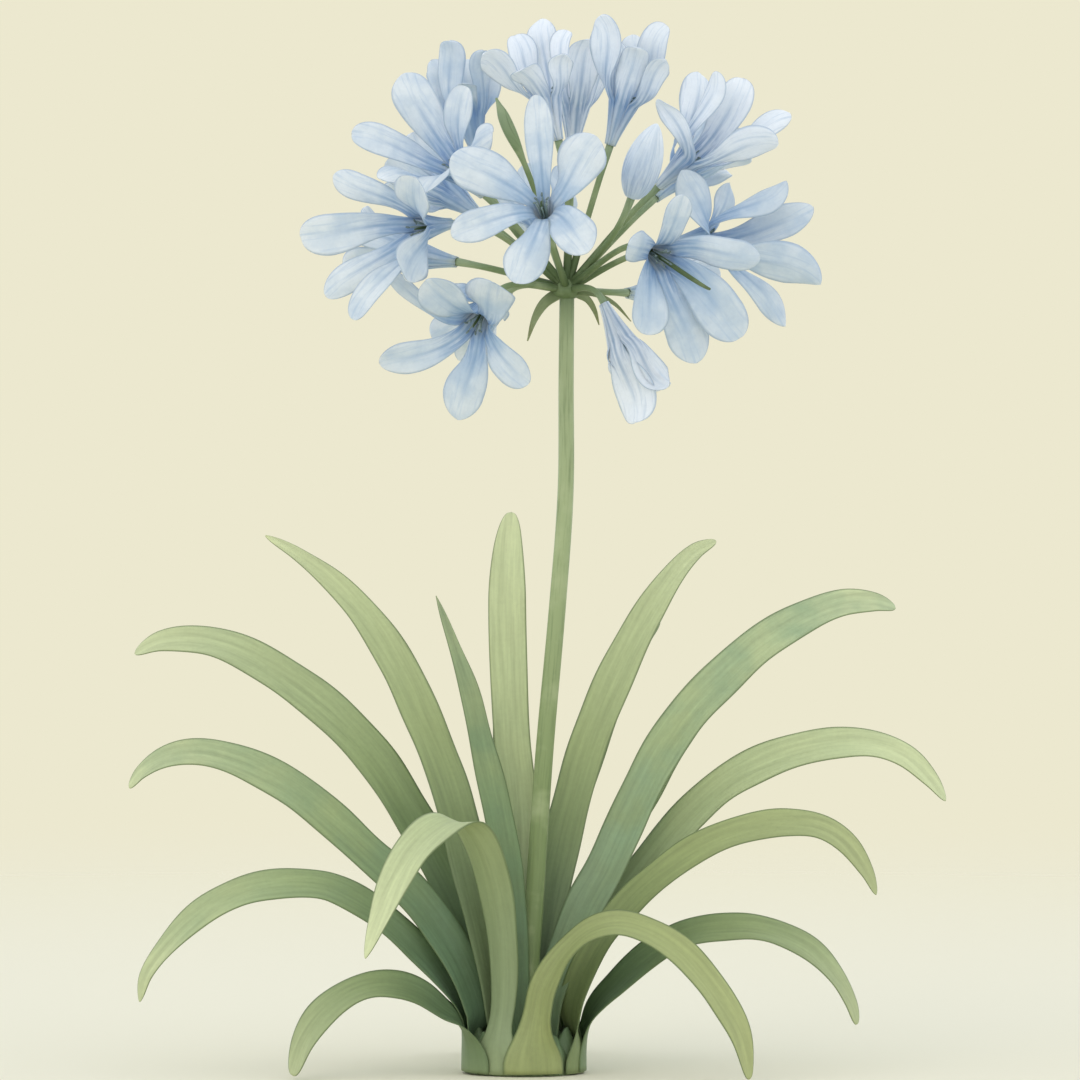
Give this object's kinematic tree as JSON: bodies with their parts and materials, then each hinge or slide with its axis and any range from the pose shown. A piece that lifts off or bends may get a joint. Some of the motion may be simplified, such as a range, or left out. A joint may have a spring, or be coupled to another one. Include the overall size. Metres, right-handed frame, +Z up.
{
  "type": "agapanthus plant",
  "caption": "Blue agapanthus in flower: arching strap leaves round a short crown, an upright stalk and a round open head of trumpet florets.",
  "frame": {"origin": "centre of the crown's flat cut underside, on the surface that the plant stands on", "axes": "+X to the viewer's right, +Y away from the viewer, +Z up along the flower stalk"},
  "size_m": [0.295, 0.1896, 0.3806],
  "materials": {
    "crown": "matt sheathed leaf bases",
    "leaf": "soft satin",
    "stalk": "soft satin",
    "tepal": "matt petal with a faint sheen"
  },
  "bodies": {
    "root": {"crown": "crown", "scape": "stalk", "leaf_left_high": "leaf", "leaf_left_mid": "leaf", "leaf_left_low": "leaf", "leaf_left_tall": "leaf", "leaf_left_folded": "leaf", "leaf_left_short": "leaf", "leaf_centre": "leaf", "leaf_left_lowest": "leaf", "leaf_right_tall": "leaf", "leaf_right_high": "leaf", "leaf_right_mid": "leaf", "leaf_right_low": "leaf", "leaf_right_lower": "leaf", "leaf_right_folded": "leaf", "leaf_back_left_high": "leaf", "leaf_back_centre": "leaf", "leaf_back_right_tall": "leaf", "leaf_back_right_high": "leaf", "leaf_back_right_lowest": "leaf", "leaf_back_left_lowest": "leaf", "floret_front": "tepal", "floret_left": "tepal", "floret_left_upper": "tepal", "floret_left_top": "tepal", "floret_top": "tepal", "floret_top_right": "tepal", "floret_right_top": "tepal", "floret_right_upper": "tepal", "floret_right_front": "tepal", "floret_right": "tepal", "floret_drooping": "tepal", "floret_left_lower": "tepal", "floret_back": "tepal", "floret_back_left_lower": "tepal", "floret_back_right_lower": "tepal", "floret_back_left_upper": "tepal", "floret_back_right_upper": "tepal", "floret_back_far_left": "tepal", "floret_bud": "tepal"}
  },
  "joints": []
}
